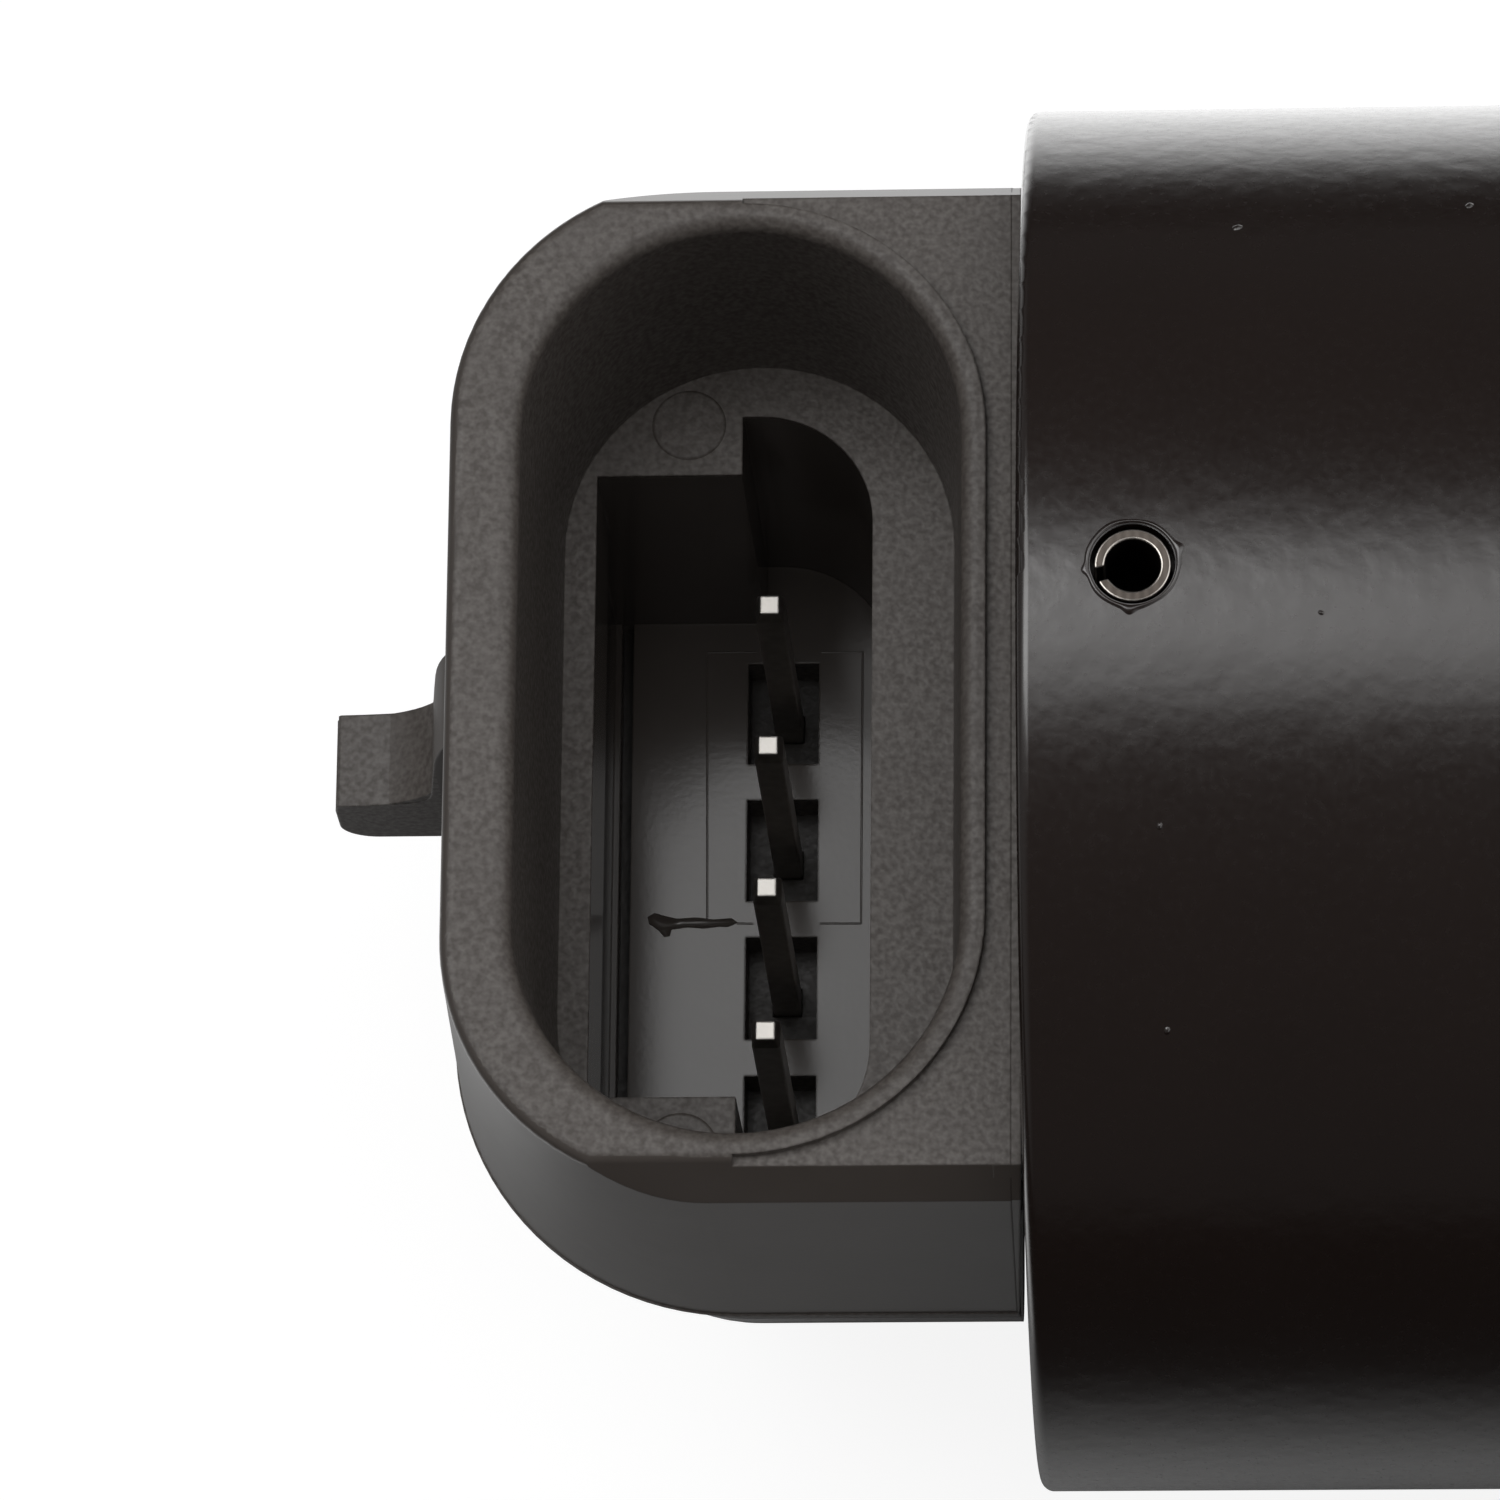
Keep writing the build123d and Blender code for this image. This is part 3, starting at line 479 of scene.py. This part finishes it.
def front_edge():
    """The shroud's front end, which comes closest to the can at the rim."""
    depth = 0.7
    # Height, half the length and the gap to the can: at the rim, under the bevel and at the parting line.
    levels = [(9.075, 11.485, 0.07), (8.16, 12.03, 0.11), (parting_z + 0.02, 12.145, 0.4)]
    points, faces = [], []
    for z, half, gap in levels:
        front, back = can_rear - gap, can_rear - depth
        points += [(back, -half, z), (front, -half, z), (front, half, z), (back, half, z)]
    for a in (0, 4):
        faces += [(a + k, a + 4 + k, a + 4 + (k + 1) % 4, a + (k + 1) % 4) for k in range(4)]
    faces += [(0, 1, 2, 3), (11, 10, 9, 8)]
    return points, faces


def tab_top():
    """The lock tab's flat top and the low rib that runs from it up the shroud's wall."""
    # X and Z, from the tab's tip to the top of the rib and back down inside the wall.
    profile = [(-58.02, 3.0), (-57.99, 3.3), (-57.93, 3.36), (-57.4, 3.39), (-56.8, 3.45), (-56.4, 3.52),
               (-56.1, 3.62), (-55.92, 3.74), (-55.81, 3.88), (-55.74, 4.1), (-55.7, 4.4), (-55.61, 5.22),
               (-55.51, 6.05), (-55.44, 6.5), (-55.36, 6.85), (-55.25, 7.2), (-55.12, 7.52), (-54.95, 7.75),
               (-54.8, 7.75), (-54.8, 3.0)]
    count = len(profile)
    points = [(x, side * tab_half_width, z) for side in (-1, 1) for x, z in profile]
    faces = [(k, (k + 1) % count, count + (k + 1) % count, count + k) for k in range(count)]
    faces += [tuple(reversed(range(count))), tuple(range(count, 2 * count))]
    return points, faces


def parting_ledge():
    """The mould's parting line round the connector: a narrow ledge from one side of the can to the other."""
    end_gap = 0.45
    end_x = can_rear - end_gap
    turn_x = parting_rear + parting_corner
    turn_y = parting_flat - parting_corner
    steps = 24
    path = [(end_x, -parting_flat, 0, -1)]
    for side in (-1, 1):
        for i in range(steps + 1):
            turn = math.radians(90 * (i if side < 0 else steps - i) / steps)
            out_x, out_y = -math.sin(turn), side * math.cos(turn)
            corner = (turn_x + parting_corner * out_x, side * turn_y + parting_corner * out_y)
            path.append(corner + (out_x, out_y))
    path.append((end_x, parting_flat, 0, 1))
    # Out from the wall and up from the parting line.
    section = [(-0.05, 0.02), (0.04, 0.02), (0.04, -0.05), (-0.1, -0.05)]
    points, faces = [], []
    for x, y, out_x, out_y in path:
        points += [(x + out * out_x, y + out * out_y, parting_z + rise) for out, rise in section]
    for i in range(len(path) - 1):
        a, b = 4 * i, 4 * i + 4
        faces += [(a + k, b + k, b + (k + 1) % 4, a + (k + 1) % 4) for k in range(4)]
    faces += [(0, 1, 2, 3), (b + 3, b + 2, b + 1, b)]
    return points, faces


def ejector_mark(x, y):
    """The low round pad that an ejector pin leaves on the ledge."""
    # Radius of each ring and its height over the ledge.
    rings = [(0.78, 0.04), (0.82, 0.04), (0.87, 0.0), (0.88, -0.02)]
    sides = 48
    points = [(x, y, ledge_z + rings[0][1])]
    for radius, height in rings:
        for k in range(sides):
            turn = 2 * math.pi * k / sides
            points.append((x + radius * math.cos(turn), y + radius * math.sin(turn), ledge_z + height))
    faces = [(0, 1 + k, 1 + (k + 1) % sides) for k in range(sides)]
    for ring in range(len(rings) - 1):
        a, b = 1 + sides * ring, 1 + sides * (ring + 1)
        faces += [(a + k, b + k, b + (k + 1) % sides, a + (k + 1) % sides) for k in range(sides)]
    return points, faces


def panel_line(path):
    """A low ridge left on the socket's floor by a joint in the mould, along a line of points."""
    width, height = 0.08, 0.012
    path = [Vector((x, y, floor_z)) for x, y in path]
    count = len(path)
    up = Vector((0, 0, height))
    points, faces = [], []
    for i, middle in enumerate(path):
        along = (path[min(i + 1, count - 1)] - path[max(i - 1, 0)]).normalized()
        side = Vector((-along.y, along.x, 0)) * width / 2
        top = 0.4 * side
        points += [middle + side - up, middle + top + up, middle - top + up, middle - side - up]
    for i in range(count - 1):
        a, b = 4 * i, 4 * i + 4
        faces += [(a + k, a + k + 1, b + k + 1, b + k) for k in range(3)]
    return points, faces


def flash_tear():
    """The torn flash on the socket's floor: a ragged sliver with a small hook at its rear end."""
    outline = [(-51.70, 0.10), (-51.65, -0.10), (-51.43, -0.27), (-51.27, -0.46), (-51.14, -0.44),
               (-51.10, -0.26), (-50.70, -0.20), (-50.30, -0.24), (-49.95, -0.19), (-49.70, -0.20),
               (-49.44, -0.08), (-49.60, 0.05), (-50.05, 0.02), (-50.50, 0.08), (-50.95, 0.05),
               (-51.30, 0.14), (-51.52, 0.21)]
    sink, rise = 0.02, 0.03
    top_length, top_width = 0.94, 0.8
    count = len(outline)
    mid_x = sum(x for x, y in outline) / count
    mid_y = sum(y for x, y in outline) / count
    points = [(x, y, floor_z - sink) for x, y in outline]
    for x, y in outline:
        points.append((mid_x + top_length * (x - mid_x), mid_y + top_width * (y - mid_y), floor_z + rise))
    faces = [(i, (i + 1) % count, (i + 1) % count + count, i + count) for i in range(count)]
    faces.append(tuple(range(count, 2 * count)))
    return points, faces


def paint_lip():
    """The lip of paint and burr round the spring pin's hole: laid on the can, uneven, with three flakes."""
    # Out from the hole's edge and up from the can.
    section = [(0.0, -0.04), (0.008, 0.02), (0.035, 0.045), (0.07, 0.045), (0.1, 0.015), (0.13, -0.03)]
    # Where each flake is in degrees round the hole, and how much wider the lip is there.
    flakes = [(19, 1.1), (188, 1.0), (266, 0.9)]
    flake_spread = 7
    clearance = 0.01
    steps = 144
    rows = len(section)
    points, faces = [], []
    for i in range(steps):
        turn = 2 * math.pi * i / steps
        swell = 1 + 0.16 * math.sin(3 * turn + 0.8) + 0.1 * math.sin(7 * turn)
        for angle, size in flakes:
            away = (math.degrees(turn) - angle + 180) % 360 - 180
            swell += size * math.exp(-(away / flake_spread) ** 2)
        for out, height in section:
            reach = pin_hole_radius + clearance + out * swell
            y = reach * math.sin(turn)
            z = math.sqrt(can_radius ** 2 - y ** 2) + height
            points.append((pin_x + reach * math.cos(turn), y, z))
    for i in range(steps):
        a, b = i * rows, (i + 1) % steps * rows
        faces += [(a + k, a + k + 1, b + k + 1, b + k) for k in range(rows - 1)]
    return points, faces


def paint_nib(x, turn, radius, height):
    """A speck of dust under the paint: a low dome on the can at this angle from the top."""
    rings, sides = 4, 12
    sink, uneven = 0.02, 0.18
    up = Vector((0, math.sin(math.radians(turn)), math.cos(math.radians(turn))))
    side = Vector((0, up.z, -up.y))
    middle = Vector((x, 0, 0))
    points = [middle + up * (can_radius + height)]
    for ring in range(1, rings + 1):
        share = ring / rings
        lift = height * (1 - share ** 2) - sink * share
        for k in range(sides):
            angle = 2 * math.pi * k / sides
            spread = radius * share * (1 + uneven * math.sin(2 * angle + x))
            flat = Vector((spread * math.cos(angle), 0, 0)) + side * spread * math.sin(angle)
            points.append(middle + up * (can_radius + lift) + flat)
    faces = []
    for k in range(sides):
        n = (k + 1) % sides
        faces.append((0, 1 + k, 1 + n))
        for ring in range(rings - 1):
            a, b = 1 + ring * sides, 1 + (ring + 1) * sides
            faces.append((a + k, b + k, b + n, a + n))
    return points, faces


pbt = moulded_pbt("moulded_pbt", 0.08)
# Marks only a few hundredths of a millimetre high keep sharper edges.
pbt_marks = moulded_pbt("moulded_pbt_marks", 0.01)
# A satin wall showed the tab's rib lighter than the photo does, so the tab's top and rib are matte.
pbt_tab = moulded_pbt("moulded_pbt_tab", 0.08, wall_roughness=0.52)
enamel = baked_enamel("baked_enamel", on_can=True)
enamel_runs = baked_enamel("baked_enamel_runs", on_can=False)
casting = die_cast_aluminium()
tin = tinned_brass()
wire = wound_wire()
# Spring steel keeps the fine lines of the drawing die.
drawn_spring_steel = steel("drawn_spring_steel", "#8d8a87", "#b9b6b2", 0.32, 0.25)
# Spring pins are blackened in hot salts, which leaves a dark brown-grey metal.
blackened_spring_steel = steel("blackened_spring_steel", "#413c38", "#655e58", 0.32, 0.2)
# Where the black is worn off its edges, the pin is bright.
worn_spring_steel = steel("worn_spring_steel", "#a8a29b", "#cfc9c2", 0.3, 0.2)
# Cold-rolled sheet has a flat, slightly cloudy grey.
rolled_sheet_steel = steel("rolled_sheet_steel", "#86868a", "#a6a6a8", 0.4, 0.35)
# Turned steel shows the feed of the lathe as fine rings.
turned_steel = steel("turned_steel", "#9a9a9b", "#c3c3c2", 0.3, 0.2)
# Ground and lapped bearing steel is close to a mirror.
lapped_bearing_steel = steel("lapped_bearing_steel", "#b4b4b6", "#cfcfd0", 0.14, 0.12)
# Nitrile rubber moulds to a soft black with a faint bloom.
nitrile_rubber = speckled("nitrile_rubber", "#1a1a1a", "#262525", 0.6, 0.0, 0.3, 0.006)
# Natural nylon is a warm milky white.
natural_nylon = speckled("natural_nylon", "#d3cdbf", "#e2ddd1", 0.45, 0.0, 0.8, 0.006)
# Natural acetal is a cooler, waxier white than nylon.
natural_acetal = speckled("natural_acetal", "#dcd9d1", "#e9e7e0", 0.35, 0.0, 1.0, 0.004)
# Black acetal has the same waxy shine.
black_acetal = speckled("black_acetal", "#1e1d1d", "#282727", 0.38, 0.0, 0.6, 0.004)
# Pressed and ground ferrite is dark grey with a fine crystal sparkle.
ground_ferrite = speckled("ground_ferrite", "#2e2e30", "#48484b", 0.42, 0.3, 0.2, 0.008)
# Pressed cage brass is plain yellow metal with a satin skin.
pressed_brass = speckled("pressed_brass", "#b08a44", "#c9a55c", 0.34, 1.0, 0.4, 0.005)
# Sintered bronze shows open pores between its grains.
sintered_bronze = speckled("sintered_bronze", "#7a5a33", "#ab8350", 0.5, 1.0, 0.25, 0.015)

finishes = {
    "motor_can": enamel,
    "connector_housing": pbt,
    "mounting_flange": casting,
    "flange_oring": nitrile_rubber,
    "rear_seal": nitrile_rubber,
    "spring_pin": blackened_spring_steel,
    "spring_washer": drawn_spring_steel,
    "pintle_spring": drawn_spring_steel,
    "front_stator_cup": rolled_sheet_steel,
    "front_stator_plate": rolled_sheet_steel,
    "rear_stator_cup": rolled_sheet_steel,
    "rear_stator_plate": rolled_sheet_steel,
    "front_bobbin": natural_nylon,
    "rear_bobbin": natural_nylon,
    "front_winding": wire,
    "rear_winding": wire,
    "rotor_hub": natural_acetal,
    "rotor_magnet": ground_ferrite,
    "bearing_outer_race": lapped_bearing_steel,
    "bearing_inner_race": lapped_bearing_steel,
    "bearing_balls": lapped_bearing_steel,
    "ball_cage": pressed_brass,
    "rear_bush": sintered_bronze,
    "shaft_guide": black_acetal,
    "lead_screw": turned_steel,
    "pintle": turned_steel,
    "terminal_1": tin,
    "terminal_2": tin,
    "terminal_3": tin,
    "terminal_4": tin,
}
for name, finish in finishes.items():
    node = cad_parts[name]
    node.data.materials.clear()
    node.data.materials.append(finish)

# The stamped and cut metal ends have small rounded edges, which catch the light. The spring pin's are worn
# bright.
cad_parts["spring_pin"].data.materials.append(worn_spring_steel)
for name in ("spring_pin", "terminal_1", "terminal_2", "terminal_3", "terminal_4"):
    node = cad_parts[name]
    weld = node.modifiers.new("closed edges", "WELD")
    weld.merge_threshold = 0.000002
    rounding = node.modifiers.new("rounded edges", "BEVEL")
    rounding.width = cut_edge_radius / 1000
    rounding.material = len(node.data.materials) - 1
    rounding.segments = 3
    rounding.limit_method = "ANGLE"
    rounding.angle_limit = math.radians(35)

coil_shape = round_bar(coil_path(), spring_wire, sides=14)
coil = fit_piece("pintle_spring_coil", coil_shape, drawn_spring_steel)
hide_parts("pintle_spring")
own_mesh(coil)

front = fit_piece("shroud_front_edge", front_edge(), pbt)
front.data.shade_flat()

top = fit_piece("lock_tab_top", tab_top(), pbt_tab)
top.data.set_sharp_from_angle(angle=math.radians(40))

parting = fit_piece("parting_line", parting_ledge(), pbt_marks)
parting.data.shade_flat()

marks = [ejector_mark(-50.1, y) for y in (-8.85, 8.85)]
fit_piece("ejector_marks", join(marks), pbt_marks)

panel_paths = [
    [(-50.3, 6.86), (-49.1, 6.86)],
    [(-47.5, 6.83), (-46.5, 6.83)],
    [(-50.3, 6.86), (-50.26, 3.4), (-50.22, -0.1)],
    [(-46.5, 6.83), (-46.5, 3.4), (-46.5, -0.13)],
    [(-49.5, -0.1), (-49.1, -0.11)],
    [(-47.5, -0.12), (-46.5, -0.13)],
]
panel_lines = [panel_line(path) for path in panel_paths]
fit_piece("floor_panel_lines", join(panel_lines), pbt_marks)

fit_piece("floor_flash", flash_tear(), pbt_marks)

fit_piece("pin_hole_lip", paint_lip(), enamel_runs)

nibs = [
    paint_nib(-37.15, 33.8, 0.13, 0.05),
    paint_nib(-38.91, -20.7, 0.09, 0.04),
    paint_nib(-38.8, -36.9, 0.1, 0.04),
    paint_nib(-32.0, 36.6, 0.12, 0.05),
    paint_nib(-35.39, -4.2, 0.08, 0.03),
]
fit_piece("paint_nibs", join(nibs), enamel_runs)

table_mesh = bpy.data.meshes.new("table")
corners = [(-2, -2), (2, -2), (2, 2), (-2, 2)]
table_mesh.from_pydata([(x, y, table_z / 1000) for x, y in corners], [], [(0, 1, 2, 3)])
table_mesh.materials.append(white_paper())
table = bpy.data.objects.new("table", table_mesh)
bpy.context.scene.collection.objects.link(table)

bpy.context.scene.world = white_tent()

# Square softboxes above, turned to the valve: the strongest on the left, a weaker one on the right, and a
# front fill whose own image the can doesn't mirror. Their places are in metres.
lit_place = Vector((-0.045, 0, 0))
softboxes = (
    ("left_softbox", 1.05, (-0.3, 0.14, 0.56)),
    ("right_softbox", 0.4, (0.27, 0.16, 0.54)),
    ("front_softbox", 0.6, (-0.045, -0.2, 0.54)),
)
for name, energy, location in softboxes:
    softbox_light = bpy.data.lights.new(name, "AREA")
    softbox_light.size = 0.4
    softbox_light.energy = energy
    softbox = bpy.data.objects.new(name, softbox_light)
    softbox.location = location
    softbox.rotation_euler = (lit_place - softbox.location).to_track_quat("-Z", "Y").to_euler()
    softbox.visible_glossy = name != "front_softbox"
    bpy.context.scene.collection.objects.link(softbox)

# The camera as it was fitted to the photo.
lens = bpy.data.cameras.new("camera")
lens.lens = 225.97
lens.sensor_width = 36.0
lens.clip_start = 0.01
camera = bpy.data.objects.new("camera", lens)
camera.location = (-0.03585, -0.07023, 0.20735)
camera.rotation_mode = "ZYX"
camera.rotation_euler = (math.radians(19.04), math.radians(3.35), math.radians(-0.56))
bpy.context.scene.collection.objects.link(camera)
bpy.context.scene.camera = camera
bpy.context.scene.view_settings.view_transform = "Standard"
